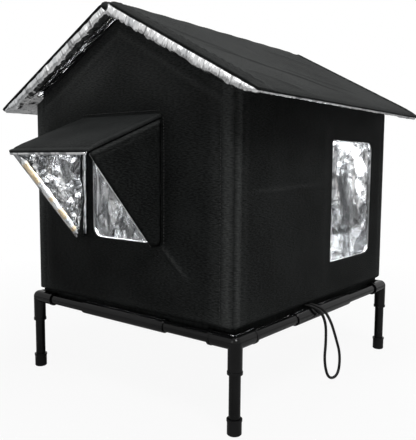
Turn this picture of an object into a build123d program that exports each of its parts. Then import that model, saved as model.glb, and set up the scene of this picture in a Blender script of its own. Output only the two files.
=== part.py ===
from build123d import *
from math import atan2, cos, degrees, radians, sin, sqrt, tan
import os

# An outdoor cat house: a padded fabric cabin with a pitched roof and a hooded
# door, standing on a low stand of push-fit steel tubes.
# Millimetres. X runs to the window side, Y to the back, Z up from the floor.

# Stand
tube_dia = 16.0
tube_wall = 1.2
stand_width = 425.0
stand_depth = 479.0
rail_height = 125.0
fit_gap = 0.15

connector_dia = 20.0
collar_dia = 21.4
collar_length = 4.0
socket_length = 42.0
socket_stop = 13.0

sleeve_dia = 20.0
sleeve_length = 178.0
sleeve_insert = 40.0
sleeve_end_bevel = 0.6

foot_dia = 20.0
foot_height = 22.0
foot_floor = 3.0
foot_lip_dia = 21.4
foot_lip_height = 3.0
foot_edge_bevel = 1.2

# Cabin walls and floor
cabin_width = 422.0
cabin_depth = 484.0
shoulder_height = 453.0
gable_height = 572.0
wall_thickness = 8.0
lining_thickness = 1.5
edge_roll_radius = 8.0
edge_roll_inset = 10.0
floor_thickness = 6.0
floor_inset = 6.0
rest_gap = 0.3

# Door and window
door_width = 132.0
door_bottom = 243.0
door_top = 410.0
door_corner_radius = 20.0
window_front = 30.0
window_back = 184.0
window_bottom = 197.0
window_top = 398.0
window_front_radius = 4.0
window_back_radius = 18.0

# Roof
roof_flatter = 1.42
roof_cover_thickness = 5.0
roof_pad_thickness = 8.0
roof_half_span = 264.0
roof_front_overhang = 28.0
roof_back_overhang = 25.0
roof_over_gable = 18.0
roof_cover_margin = 1.5
roof_cover_edge_radius = 2.4
roof_pad_edge_radius = 1.0
ridge_radius = 8.5
ridge_nose = 5.0
ridge_end_bevel = 5.0
roof_gap = 0.4

# Hook-and-loop strips between the wall tops and the roof
strip_inset = 1.5
strip_end_margin = 14.0

# Awning over the door
awning_width = 170.0
awning_length = 140.0
awning_drop = 21.0
awning_root_height = 424.0
awning_cover_thickness = 6.0
awning_edge_radius = 2.7
awning_wall_gap = 0.5
gusset_thickness = 5.0
gusset_inset = 1.0
gusset_bottom = 241.0
gusset_toe = 20.0
gusset_front_margin = 3.0
gusset_gap = 0.4

# Strap loop sewn under the window wall
strap_dia = 4.5
strap_stand_off = 16.0
strap_bend_radius = 16.0
strap_bend_share = 0.45
strap_facets = 6

# How far the cutting shapes reach past what they cut
cutter_reach = 48.0

# Places worked out from the sizes
leg_x = stand_width / 2
leg_y = stand_depth / 2
wall_x = cabin_width / 2
wall_y = cabin_depth / 2
bore_dia = tube_dia + 2 * fit_gap
floor_bottom = rail_height + sleeve_dia / 2 + rest_gap
wall_bottom = floor_bottom + floor_thickness
inner_x = wall_x - wall_thickness
inner_y = wall_y - wall_thickness
gable_slope = (gable_height - shoulder_height) / wall_x
roof_pitch = degrees(atan2(gable_height - shoulder_height, wall_x)) - roof_flatter
roof_top_height = gable_height + roof_over_gable
roof_slope = tan(radians(roof_pitch))
roof_thickness = roof_cover_thickness + roof_pad_thickness
ridge_height = roof_top_height - roof_thickness / 2 / cos(radians(roof_pitch))
roof_front = -wall_y - roof_front_overhang
roof_back = wall_y + roof_back_overhang
roof_length_y = roof_back - roof_front
panel_length = roof_half_span / cos(radians(roof_pitch))
awning_thickness = awning_cover_thickness + lining_thickness
awning_y = -wall_y - awning_thickness / 2 - awning_wall_gap
awning_tip_y = awning_y - awning_length * cos(radians(awning_drop))

# The origin is under the middle of the whole object, hood and roof included
awning_reach = -awning_tip_y + awning_thickness / 2 * sin(radians(awning_drop))
shift_y = (awning_reach - roof_back - roof_cover_margin) / 2

side_names = {-1: "left", 1: "right"}
end_names = {-1: "front", 1: "back"}


def save(shape, name):
    """Write one piece, moved so that the origin is under the object's middle."""
    shape = Pos(0, shift_y, 0) * shape
    shape.label = name
    export_step(shape, f"parts/{name}.step")
    print(f"{name:32s} {shape.volume / 1000:9.2f} cm3")


def rod_x(radius, length):
    """A cylinder along X from the origin to +X."""
    return Rot(0, 90, 0) * Cylinder(radius, length, align=(Align.CENTER, Align.CENTER, Align.MIN))


def rod_y(radius, length):
    """A cylinder along Y from the origin to +Y."""
    return Rot(-90, 0, 0) * Cylinder(radius, length, align=(Align.CENTER, Align.CENTER, Align.MIN))


def rod_down(radius, length):
    """A cylinder along Z from the origin downwards."""
    return Cylinder(radius, length, align=(Align.CENTER, Align.CENTER, Align.MAX))


def slab(low, high):
    """A box between two corners."""
    size = [b - a for a, b in zip(low, high)]
    return Pos(*low) * Box(*size, align=(Align.MIN, Align.MIN, Align.MIN))


def prism_y(points, low_y, high_y):
    """A polygon given by its X and Z, drawn out from low_y to high_y."""
    outline = Polyline(*[(x, low_y, z) for x, z in points], close=True)
    return extrude(make_face(outline), amount=high_y - low_y, dir=(0, 1, 0))


def prism_x(points, low_x, high_x):
    """A polygon given by its Y and Z, drawn out from low_x to high_x."""
    outline = Polyline(*[(low_x, y, z) for y, z in points], close=True)
    return extrude(make_face(outline), amount=high_x - low_x, dir=(1, 0, 0))


# Stand


def corner_connector():
    """A moulded three-way elbow: two level sockets and one downward socket."""
    socket = connector_dia / 2
    body = Sphere(socket) + rod_x(socket, socket_length) + rod_y(socket, socket_length)
    body += rod_down(socket, socket_length)
    collar = collar_dia / 2
    collar_start = socket_length - collar_length
    body += Pos(collar_start, 0, 0) * rod_x(collar, collar_length)
    body += Pos(0, collar_start, 0) * rod_y(collar, collar_length)
    body += Pos(0, 0, -collar_start) * rod_down(collar, collar_length)
    bore = bore_dia / 2
    bore_depth = socket_length - socket_stop
    body -= Pos(socket_stop, 0, 0) * rod_x(bore, bore_depth)
    body -= Pos(0, socket_stop, 0) * rod_y(bore, bore_depth)
    body -= Pos(0, 0, -socket_stop) * rod_down(bore, bore_depth)
    return body


def tube(length):
    """A steel tube along X from the origin."""
    return rod_x(tube_dia / 2, length) - rod_x(tube_dia / 2 - tube_wall, length)


def rail_sleeve():
    """The larger tube that joins a rail's two halves, along X about the origin."""
    half = sleeve_length / 2
    outer = Pos(-half, 0, 0) * rod_x(sleeve_dia / 2, sleeve_length)
    ends = outer.edges().filter_by(GeomType.CIRCLE)
    outer = chamfer(ends, sleeve_end_bevel)
    return outer - Pos(-half, 0, 0) * rod_x(bore_dia / 2, sleeve_length)


def foot_cap():
    """A rubber cap with a closed bottom, a bevelled edge and a lip, bottom at z 0."""
    cap = Cylinder(foot_dia / 2, foot_height, align=(Align.CENTER, Align.CENTER, Align.MIN))
    cap = chamfer(cap.edges().group_by(Axis.Z)[0], foot_edge_bevel)
    lip_bottom = foot_height - foot_lip_height
    cap += Pos(0, 0, lip_bottom) * Cylinder(
        foot_lip_dia / 2, foot_lip_height, align=(Align.CENTER, Align.CENTER, Align.MIN)
    )
    hole = Cylinder(bore_dia / 2, foot_height, align=(Align.CENTER, Align.CENTER, Align.MIN))
    return cap - Pos(0, 0, foot_floor) * hole


def make_stand():
    corner = corner_connector()
    leg_top = rail_height - socket_stop
    leg = Rot(0, -90, 0) * tube(leg_top - foot_floor)
    cap = foot_cap()
    turns = {(-1, -1): 0, (1, -1): 90, (1, 1): 180, (-1, 1): 270}
    for (sx, sy), turn in turns.items():
        place = f"{end_names[sy]}_{side_names[sx]}"
        at = Pos(sx * leg_x, sy * leg_y, 0)
        save(at * Pos(0, 0, rail_height) * Rot(0, 0, turn) * corner, f"corner_connector_{place}")
        save(at * Pos(0, 0, foot_floor) * leg, f"leg_tube_{place}")
        save(at * cap, f"foot_cap_{place}")
    sleeve = rail_sleeve()
    inner_end = sleeve_length / 2 - sleeve_insert
    front_half = tube(leg_x - socket_stop - inner_end)
    side_half = tube(leg_y - socket_stop - inner_end)
    for sy, end in end_names.items():
        at = Pos(0, sy * leg_y, rail_height)
        save(at * sleeve, f"rail_sleeve_{end}")
        save(at * Pos(inner_end, 0, 0) * front_half, f"rail_tube_{end}_right")
        save(at * Rot(0, 0, 180) * Pos(inner_end, 0, 0) * front_half, f"rail_tube_{end}_left")
    for sx, side in side_names.items():
        at = Pos(sx * leg_x, 0, rail_height) * Rot(0, 0, 90)
        save(at * sleeve, f"rail_sleeve_{side}")
        save(at * Pos(inner_end, 0, 0) * side_half, f"rail_tube_{side}_back")
        save(at * Rot(0, 0, 180) * Pos(inner_end, 0, 0) * side_half, f"rail_tube_{side}_front")


# Cabin


def wall_blank(half):
    """An upright padded wall along X with rolled, mitred ends.

    Its outer face is at y 0 and faces -Y, and its bottom is at wall_bottom.
    """
    roll_x = half - edge_roll_inset
    total = edge_roll_inset + edge_roll_radius
    valley = (total - sqrt(total**2 - 2 * edge_roll_inset**2)) / 2
    end_angle = atan2(valley - edge_roll_radius, edge_roll_inset - valley)
    mid_angle = (radians(-90) + end_angle) / 2
    mid_x = edge_roll_radius * cos(mid_angle)
    mid_y = edge_roll_radius * (1 + sin(mid_angle))
    outer = Line((-roll_x, 0), (roll_x, 0))
    right_roll = ThreePointArc((roll_x, 0), (roll_x + mid_x, mid_y), (half - valley, valley))
    right_mitre = Line((half - valley, valley), (half - wall_thickness, wall_thickness))
    inner = Line((half - wall_thickness, wall_thickness), (wall_thickness - half, wall_thickness))
    left_mitre = Line((wall_thickness - half, wall_thickness), (valley - half, valley))
    left_roll = ThreePointArc((valley - half, valley), (-roll_x - mid_x, mid_y), (-roll_x, 0))
    plan = make_face([outer, right_roll, right_mitre, inner, left_mitre, left_roll])
    return Pos(0, 0, wall_bottom) * extrude(plan, amount=gable_height - wall_bottom)


def under_gable():
    """Everything below the sloping tops of the walls."""
    points = [
        (-wall_x, wall_bottom),
        (wall_x, wall_bottom),
        (wall_x, shoulder_height),
        (0, gable_height),
        (-wall_x, shoulder_height),
    ]
    return prism_y(points, -wall_y, wall_y)


def door_cutter():
    """A block through the front wall with the door's rounded outline."""
    middle = (door_bottom + door_top) / 2
    outline = RectangleRounded(door_width, door_top - door_bottom, door_corner_radius)
    block = extrude(outline, amount=cutter_reach, both=True)
    return Pos(0, -wall_y, middle) * Rot(90, 0, 0) * block


def window_cutter():
    """A block through the right wall, more rounded on the back side."""
    block = slab(
        (wall_x - cutter_reach, window_front, window_bottom),
        (wall_x + cutter_reach, window_back, window_top),
    )
    corners = block.edges().filter_by(Axis.X).sort_by(Axis.Y)
    block = fillet(corners[2:], window_back_radius)
    corners = block.edges().filter_by(Axis.X).sort_by(Axis.Y)
    return fillet(corners[:2], window_front_radius)


def make_cabin():
    top = under_gable()
    door = door_cutter()
    window = window_cutter()
    end_wall = wall_blank(wall_x)
    side_wall = wall_blank(wall_y)
    front = Pos(0, -wall_y, 0) * end_wall
    back = Rot(0, 0, 180) * front
    right = Rot(0, 0, 90) * Pos(0, -wall_x, 0) * side_wall
    left = Rot(0, 0, 180) * right
    save((front & top) - door, "front_wall")
    save(back & top, "back_wall")
    save((right & top) - window, "right_wall")
    save(left & top, "left_wall")

    edge = lining_thickness
    level = wall_bottom
    front_lining = slab((-inner_x, -inner_y, level), (inner_x, edge - inner_y, gable_height))
    back_lining = slab((-inner_x, inner_y - edge, level), (inner_x, inner_y, gable_height))
    right_lining = slab((inner_x - edge, edge - inner_y, level), (inner_x, inner_y - edge, gable_height))
    left_lining = slab((-inner_x, edge - inner_y, level), (edge - inner_x, inner_y - edge, gable_height))
    save((front_lining & top) - door, "front_lining")
    save(back_lining & top, "back_lining")
    save((right_lining & top) - window, "right_lining")
    save(left_lining & top, "left_lining")

    floor_x = wall_x - floor_inset
    floor_y = wall_y - floor_inset
    save(slab((-floor_x, -floor_y, floor_bottom), (floor_x, floor_y, wall_bottom)), "floor_panel")
    lining_x = inner_x - edge
    lining_y = inner_y - edge
    floor_lining = slab((-lining_x, -lining_y, level), (lining_x, lining_y, level + edge))
    save(floor_lining, "floor_lining")


def wall_top(x):
    """The height of the sloping wall tops."""
    return gable_height - gable_slope * abs(x)


def roof_underside(x):
    """The height of the underside of the roof."""
    return ridge_height - roof_thickness / 2 / cos(radians(roof_pitch)) - roof_slope * abs(x)


def make_strips():
    """Hook-and-loop strips that fill the gap between the wall tops and the roof."""
    near_x = ridge_radius + 2 * roof_gap
    far_x = inner_x - strip_end_margin
    side_out = wall_x - strip_inset
    side_in = inner_x
    side_y = inner_y - strip_end_margin
    for sx, side in side_names.items():
        gable = [
            (sx * near_x, wall_top(near_x)),
            (sx * far_x, wall_top(far_x)),
            (sx * far_x, roof_underside(far_x) - rest_gap),
            (sx * near_x, roof_underside(near_x) - rest_gap),
        ]
        front = prism_y(gable, strip_inset - wall_y, -inner_y)
        save(front, f"roof_strip_front_{side}")
        save(prism_y(gable, inner_y, wall_y - strip_inset), f"roof_strip_back_{side}")
        eave = [
            (sx * side_in, wall_top(side_in)),
            (sx * side_out, wall_top(side_out)),
            (sx * side_out, roof_underside(side_out) - rest_gap),
            (sx * side_in, roof_underside(side_in) - rest_gap),
        ]
        save(prism_y(eave, -side_y, side_y), f"roof_strip_{side}")


# Roof


def roof_layer(low, high, length, edge_radius, margin):
    """One layer of the right slope, as a slab along X with its eave edge rounded.

    low and high are its faces' heights over the slope's middle plane.
    """
    layer = slab((0, roof_front - margin, low), (length, roof_back + margin, high))
    eave = layer.edges().filter_by(Axis.Y).group_by(Axis.X)[-1]
    ends = layer.edges().filter_by(Axis.X).group_by(Axis.Z)[-1]
    layer = fillet(eave + ends, edge_radius)
    clear = ridge_radius + roof_gap
    groove = rod_y(clear, roof_length_y + 2 * cutter_reach)
    return layer - Pos(0, roof_front - cutter_reach, 0) * groove


def make_roof():
    middle = roof_pad_thickness - roof_thickness / 2
    top = roof_thickness / 2
    pad_length = panel_length - roof_cover_margin
    cover = roof_layer(middle, top, panel_length, roof_cover_edge_radius, roof_cover_margin)
    pad = roof_layer(-top, middle, pad_length, roof_pad_edge_radius, 0)
    for sx, side in side_names.items():
        turn = Pos(0, 0, ridge_height) * Rot(0, roof_pitch, 0)
        right_cover = turn * cover
        right_pad = turn * pad
        if sx < 0:
            right_cover = mirror(right_cover, about=Plane.YZ)
            right_pad = mirror(right_pad, about=Plane.YZ)
        save(right_cover, f"roof_cover_{side}")
        save(right_pad, f"roof_pad_{side}")
    roll_length = roof_length_y + 2 * roof_cover_margin + ridge_nose
    roll = rod_y(ridge_radius, roll_length)
    roll = chamfer(roll.edges().filter_by(GeomType.CIRCLE), ridge_end_bevel)
    save(Pos(0, roof_front - roof_cover_margin - ridge_nose, ridge_height) * roll, "roof_ridge")


# Awning


def make_awning():
    half = awning_thickness / 2
    half_width = awning_width / 2
    seam = half - awning_cover_thickness
    cover = slab((-half_width, -awning_length, seam), (half_width, 0, half))
    root = Pos(-half_width, 0, 0) * rod_x(half, awning_width)
    cover += root & slab((-half_width, -half, seam), (half_width, half, half))
    front = cover.edges().filter_by(Axis.X).group_by(Axis.Y)[0]
    cover = fillet(front, awning_edge_radius)
    lining = slab((-half_width, -awning_length, -half), (half_width, 0, seam))
    lining += root & slab((-half_width, -half, -half), (half_width, half, seam))
    hang = Pos(0, awning_y, awning_root_height) * Rot(awning_drop, 0, 0)
    save(hang * cover, "awning_cover")
    save(hang * lining, "awning_lining")

    under = awning_thickness / 2 + gusset_gap
    drop = radians(awning_drop)
    tip_along = awning_length - gusset_front_margin
    tip_y = awning_y - tip_along * cos(drop) + under * sin(drop)
    tip_z = awning_root_height - tip_along * sin(drop) - under * cos(drop)
    back_y = -wall_y - gusset_gap
    rise = (back_y - tip_y) * tan(drop)
    outline = [
        (back_y, gusset_bottom),
        (-wall_y - gusset_toe, gusset_bottom),
        (tip_y, tip_z),
        (back_y, tip_z + rise),
    ]
    inner = awning_width / 2 - gusset_inset - gusset_thickness
    gusset = prism_x(outline, inner, inner + gusset_thickness)
    gusset -= Pos(0, awning_y, awning_root_height) * Pos(-awning_width, 0, 0) * rod_x(
        under, 2 * awning_width
    )
    save(gusset, "awning_gusset_right")
    save(mirror(gusset, about=Plane.YZ), "awning_gusset_left")


# Strap


def make_strap():
    """A limp flat loop, sewn under the window wall and hanging outside the rail."""
    level = (floor_bottom + wall_bottom) / 2
    root_x = wall_x - floor_inset
    over_x = leg_x + strap_stand_off
    route = [
        (root_x, -44.0, level),
        (over_x, -44.0, level),
        (over_x + 1.0, -18.0, 112.0),
        (over_x + 2.0, -17.0, 78.0),
        (over_x + 2.0, -22.0, 46.0),
        (over_x + 2.0, -6.0, 12.0),
        (over_x + 2.0, 30.0, 8.0),
        (over_x + 2.0, 36.0, 42.0),
        (over_x + 1.0, 19.0, 76.0),
        (over_x + 1.0, -2.0, 110.0),
        (over_x, -33.0, level),
        (root_x, -33.0, level),
    ]
    points = [Vector(*p) for p in route]
    radii = []
    for a, b, c in zip(points, points[1:], points[2:]):
        turn = radians((b - a).get_angle(c - b))
        run = min((b - a).length, (c - b).length)
        radii.append(strap_bend_share * run / tan(turn / 2))
    radii[0] = radii[-1] = strap_bend_radius
    print("strap radii", [round(r, 1) for r in radii])
    path = FilletPolyline(*points, radius=radii)
    start = Plane(origin=points[0], z_dir=points[1] - points[0])
    section = RegularPolygon(strap_dia / 2, strap_facets)
    loop = sweep(start * section, path=path)
    share = loop.volume / (section.area * path.length)
    print(f"strap length {path.length:.1f} mm, volume over section times length {share:.4f}")
    save(loop, "strap_loop")


os.makedirs("parts", exist_ok=True)
make_stand()
make_cabin()
make_strips()
make_roof()
make_awning()
make_strap()
print(f"shift {shift_y:.3f}, ridge {ridge_height:.3f}, awning axis {awning_y + shift_y:.3f}")
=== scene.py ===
import math

import bpy
import numpy as np
from mathutils import Matrix, Vector
from mathutils.geometry import delaunay_2d_cdt


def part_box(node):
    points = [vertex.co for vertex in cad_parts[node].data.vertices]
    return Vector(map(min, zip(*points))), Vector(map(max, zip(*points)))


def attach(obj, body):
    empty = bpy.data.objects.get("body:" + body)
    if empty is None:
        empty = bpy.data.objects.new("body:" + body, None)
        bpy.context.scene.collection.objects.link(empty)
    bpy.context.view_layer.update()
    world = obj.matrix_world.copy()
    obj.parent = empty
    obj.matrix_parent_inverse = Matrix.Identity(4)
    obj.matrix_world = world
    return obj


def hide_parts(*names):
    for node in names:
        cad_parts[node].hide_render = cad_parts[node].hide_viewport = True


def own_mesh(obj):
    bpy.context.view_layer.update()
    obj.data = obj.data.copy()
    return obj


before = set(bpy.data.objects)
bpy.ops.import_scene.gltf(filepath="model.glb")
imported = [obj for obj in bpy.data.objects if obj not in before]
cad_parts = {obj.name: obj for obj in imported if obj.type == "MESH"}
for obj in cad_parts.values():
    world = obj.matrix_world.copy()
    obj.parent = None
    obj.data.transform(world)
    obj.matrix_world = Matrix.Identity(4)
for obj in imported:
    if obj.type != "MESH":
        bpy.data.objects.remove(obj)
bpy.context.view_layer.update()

# Lengths are millimetres in the house's own frame until place() puts them in the scene.
# The house's middle lies halfway between its front and back walls.
MM = 0.001
front_low, front_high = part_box("front_wall")
back_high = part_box("back_wall")[1]
middle_y = (front_low.y + back_high.y) / 2 / MM

# Walls
wall_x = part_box("right_wall")[1].x / MM
wall_y = back_high.y / MM - middle_y
wall_thickness = 8
wall_bottom = front_low.z / MM
floor_sag = 6.5
gable_height = front_high.z / MM
shoulder_height = 453
corner_seam_depth = 3.4
corner_roll_front = 19
corner_roll_side = 12
back_corner = 16

# Openings
door_width = 132
door_bottom = 243
door_top = 410
door_radius = 20
window_front = 30
window_back = 184
window_bottom = 197
window_top = 398
window_front_radius = 4
window_back_radius = 18

# Roof
roof_pitch = math.radians(28)
pad_thickness = 8
ridge_taper = 45
roof_cover_length = 289.3
roof_front = -271.5
roof_back = 268.5
cover_top_x = 8.4
cover_top_z = 581.1

# Hood over the door
hood_width = 170
hood_length = 140
hood_drop = math.radians(21)
hood_axis_y = -246.25
hood_axis_z = 424
gusset_x = 81.5
hood_stitch_x = 88
gusset_thickness = 5
gusset_bottom = 241
gusset_toe = 20
hem_depth = 2.6
hem_flatness = 0.5
free_hem_width = 4.6
root_hem_width = 2.0
hem_steps = 90

# Stitches and the foil that lines the openings
stitch_pitch = 4.6
stitch_length = 3.3
stitch_width = 0.5
jamb_thickness = 1.2

# How far apart the points of each kind of mesh lie
wall_spacing = 4.2
lining_spacing = 3.8
roof_spacing = 3.4
hood_spacing = 2.6
gusset_spacing = 2.4
gusset_foil_spacing = 2.2
opening_spacing = 3.0


# Numbers

def noise(points, size, seed):
    """Smooth random heights from -1 to 1 that change over about size"""
    cell = np.asarray(points) / size
    base = np.floor(cell).astype(np.int64)
    part = cell - base
    part = part * part * (3 - 2 * part)

    def corner(i, j):
        key = (base[:, 0] + i) * 374761393 + (base[:, 1] + j) * 668265263 + seed * 974634777
        key = (key ^ (key >> 13)) * 1274126177
        return ((key ^ (key >> 16)) & 0xFFFF) / 32767.5 - 1

    low = corner(0, 0) * (1 - part[:, 0]) + corner(1, 0) * part[:, 0]
    high = corner(0, 1) * (1 - part[:, 0]) + corner(1, 1) * part[:, 0]
    return low * (1 - part[:, 1]) + high * part[:, 1]


def crumple(points, size, seed):
    """Flat facets that meet at sharp creases, as in pressed foil, from -1 to 1"""
    drift = np.stack([noise(points, size * 1.6, seed + 1), noise(points, size * 1.6, seed + 2)], 1)
    bent = points + drift * size * 0.4
    total = np.zeros(len(points))
    for k in range(5):
        angle = 2.39996 * (k + seed)
        wave = bent @ np.array([math.cos(angle), math.sin(angle)]) / (size * (1 + 0.21 * k))
        wave += (seed + k) * 0.618
        total += 4 * np.abs(wave - np.floor(wave) - 0.5) - 1
    return total / 3


def ease(values):
    """0 to 1, slow at both ends"""
    t = np.clip(values, 0, 1)
    return t * t * (3 - 2 * t)


def round_over(distance, width):
    """A quarter round from 0 at an edge to 1 at width from it"""
    t = np.clip(distance / width, 0, 1)
    return np.sqrt(1 - (1 - t) ** 2)


def crease(points, start, end, width):
    """1 along the line from start to end, falling to 0 at width beside it and at both its ends"""
    start = np.array(start, float)
    line = np.array(end, float) - start
    share = (points - start) @ line / (line @ line)
    aside = np.abs((points - start) @ np.array([-line[1], line[0]])) / math.hypot(*line)
    along = ease(share * 5) * ease((1 - share) * 2.5)
    return along * np.exp(-(aside / width) ** 2)


# Outlines

def rounded(corners, spacing):
    """Evenly spaced points round a polygon of (u, v, corner radius)"""
    path = []
    for before, here, after in zip(corners[-1:] + corners[:-1], corners, corners[1:] + corners[:1]):
        point = np.array(here[:2], float)
        back = np.array(before[:2], float) - point
        ahead = np.array(after[:2], float) - point
        back /= np.linalg.norm(back)
        ahead /= np.linalg.norm(ahead)
        turn = math.pi - math.acos(np.clip(back @ ahead, -1, 1))
        reach = here[2] * math.tan(turn / 2)
        steps = max(1, math.ceil(here[2] * turn / spacing * 1.5)) if here[2] else 0
        for k in range(steps + 1):
            t = k / max(steps, 1)
            path.append(point + back * reach * (1 - t) ** 2 + ahead * reach * t ** 2)
    dense = []
    for here, after in zip(path, path[1:] + path[:1]):
        count = max(1, round(np.linalg.norm(after - here) / spacing))
        dense += [here + (after - here) * k / count for k in range(count)]
    return np.array(dense)


def inward_of(loop):
    """The direction into an outline at each of its points"""
    step = np.roll(loop, -1, 0) - np.roll(loop, 1, 0)
    return np.stack([-step[:, 1], step[:, 0]], 1) / np.linalg.norm(step, axis=1)[:, None]


def ruffled(loop, depth, size, seed):
    """A loop pushed in and out by up to depth, as a puckered edge is"""
    run = np.cumsum(np.linalg.norm(np.diff(loop, axis=0, append=loop[:1]), axis=1))
    push = noise(np.stack([run, np.zeros(len(run))], 1), size, seed)
    push += 0.5 * noise(np.stack([run, np.zeros(len(run))], 1), size * 0.45, seed + 1)
    return loop + inward_of(loop) * (depth * push)[:, None]


def inside(points, loop):
    """Which points lie inside a loop"""
    after = np.roll(loop, -1, 0)
    rise = after[:, 1] - loop[:, 1]
    rise = np.where(rise == 0, 1e-12, rise)
    found = []
    for group in np.array_split(points, 1 + len(points) // 4000):
        y = group[:, 1:2]
        crosses = (loop[:, 1] > y) != (after[:, 1] > y)
        at = loop[:, 0] + (y - loop[:, 1]) * (after[:, 0] - loop[:, 0]) / rise
        found.append((crosses & (group[:, 0:1] < at)).sum(1) % 2 == 1)
    return np.concatenate(found)


def from_edge(points, loop):
    """Each point's distance from a loop"""
    step = np.roll(loop, -1, 0) - loop
    length = np.linalg.norm(step, axis=1)
    gaps = []
    for group in np.array_split(points, 1 + len(points) // 4000):
        away = group[:, None] - loop
        share = np.clip((away * step).sum(-1) / length ** 2, 0, 1)
        gaps.append(np.linalg.norm(away - share[..., None] * step, axis=-1).min(1))
    return np.concatenate(gaps)


def from_holes(points, loops):
    """Each point's distance from the nearest hole, or 1000 where there is none"""
    gap = np.full(len(points), 1e3)
    for loop in loops[1:]:
        gap = np.minimum(gap, from_edge(points, loop))
    return gap



def fill_outline(loops, spacing, rims, seed):
    """Points and triangles over an outline with holes, in finer rows along its edges"""
    draw = np.random.default_rng(seed)
    low, high = loops[0].min(0), loops[0].max(0)
    rows = np.arange(low[1], high[1], spacing * 0.866)
    grid = [(x + (k % 2) * spacing / 2, y) for k, y in enumerate(rows)
            for x in np.arange(low[0], high[0], spacing)]
    grid = np.array(grid) + draw.uniform(-0.16, 0.16, (len(grid), 2)) * spacing
    sets = [(grid, rims[-1] + spacing * 0.55)]
    for number, loop in enumerate(loops):
        inward = inward_of(loop)
        for rim in rims:
            sets.append((loop + inward * rim * (1 if number == 0 else -1), rim * 0.94))
    points = [np.concatenate(loops)]
    for batch, clear in sets:
        keep = inside(batch, loops[0])
        keep &= from_edge(batch, loops[0]) >= clear
        for hole in loops[1:]:
            keep &= ~inside(batch, hole) & (from_edge(batch, hole) >= clear)
        points.append(batch[keep])
    points = np.concatenate(points)
    edges, first = [], 0
    for loop in loops:
        edges += [(first + k, first + (k + 1) % len(loop)) for k in range(len(loop))]
        first += len(loop)
    found = delaunay_2d_cdt([Vector(p) for p in points], edges, [], 0, 1e-5, False)
    points = np.array([(p.x, p.y) for p in found[0]])
    triangles = np.array([face for face in found[2] if len(face) == 3])
    centres = points[triangles].mean(1)
    keep = inside(centres, loops[0])
    for hole in loops[1:]:
        keep &= ~inside(centres, hole)
    return points, triangles[keep]


# Meshes

def plane(origin, across, up):
    """Puts (u, v) points and heights above a plane in the scene, in metres"""
    origin, across, up = (np.array(v, float) for v in (origin, across, up))
    out = np.cross(across, up)

    def place(points, heights):
        points = np.asarray(points, float).reshape(-1, 2)
        spot = origin + points[:, :1] * across + points[:, 1:] * up
        spot = spot + np.reshape(heights, (-1, 1)) * out + np.array([0, middle_y, 0])
        return spot * MM

    return place


def new_object(name, verts, faces, uvs=None, shade=True):
    """A mesh object from its points and faces, with its texture places in metres"""
    mesh = bpy.data.meshes.new(name)
    mesh.from_pydata([tuple(v) for v in verts], [], [tuple(int(i) for i in f) for f in faces])
    if uvs is not None:
        layer = mesh.uv_layers.new(name="cloth")
        picks = np.zeros(len(mesh.loops), dtype=np.int32)
        mesh.loops.foreach_get("vertex_index", picks)
        layer.data.foreach_set("uv", (np.asarray(uvs)[picks] * MM).ravel())
    mesh.polygons.foreach_set("use_smooth", [shade] * len(mesh.polygons))
    mesh.update()
    piece = bpy.data.objects.new(name, mesh)
    bpy.context.scene.collection.objects.link(piece)
    return piece


def pillow(name, place, loops, spacing, shape, rims=(0.6, 1.8, 3.6, 6), seed=1):
    """A closed padded panel; shape gives the heights of its top, underside and seam, and its painted
    highlights and tint as a point attribute
    """
    points, triangles = fill_outline(loops, spacing, rims, seed)
    outer = from_edge(points, loops[0])
    hole = from_holes(points, loops)
    top, under, seam, sheen_and_tint = shape(points, outer, hole)
    on_seam = np.minimum(outer, hole) < 0.01
    triangles = triangles[~on_seam[triangles].all(1)]
    top = np.where(on_seam, seam, top)
    free = np.flatnonzero(~on_seam)
    twin = np.arange(len(points))
    twin[free] = len(points) + np.arange(len(free))
    verts = np.concatenate([place(points, top), place(points[free], under[free])])
    faces = np.concatenate([triangles, twin[triangles[:, ::-1]]])
    uvs = np.concatenate([points, points[free]])
    piece = new_object(name, verts, faces, uvs)
    layer = piece.data.attributes.new("sheen_and_tint", "FLOAT", "POINT")
    layer.data.foreach_set("value", np.clip(np.concatenate([sheen_and_tint, sheen_and_tint[free]]), 0, 1))
    return piece


def tube(name, path, radius, sheen_and_tint, sides):
    """A round tube along a path in metres, with its radius and its painted paleness and tint at each point"""
    path = np.asarray(path, float)
    count = len(path)
    ahead = np.gradient(path, axis=0)
    ahead /= np.linalg.norm(ahead, axis=1)[:, None]
    radii = np.broadcast_to(np.asarray(radius, float), (count,))
    run = np.concatenate([[0], np.cumsum(np.linalg.norm(np.diff(path, axis=0), axis=1))])
    side = np.cross(ahead[0], [0.31, 0.52, 0.79])
    verts, uvs = [], []
    for k in range(count):
        side = side - ahead[k] * (side @ ahead[k])
        side /= np.linalg.norm(side)
        other = np.cross(ahead[k], side)
        for j in range(sides):
            turn = 2 * math.pi * j / sides
            verts.append(path[k] + (side * math.cos(turn) + other * math.sin(turn)) * radii[k])
            uvs.append((run[k] / MM, abs(turn - math.pi) * radii.max() / MM))
    faces = []
    for k in range(count - 1):
        here, there = k * sides, (k + 1) * sides
        for j in range(sides):
            after = (j + 1) % sides
            faces.append((here + j, here + after, there + after, there + j))
    faces += [tuple(range(sides))[::-1], tuple(range((count - 1) * sides, count * sides))]
    piece = new_object(name, verts, faces, uvs)
    layer = piece.data.attributes.new("sheen_and_tint", "FLOAT", "POINT")
    layer.data.foreach_set("value", np.repeat(np.broadcast_to(np.asarray(sheen_and_tint, float), (count,)), sides))
    return piece


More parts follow.
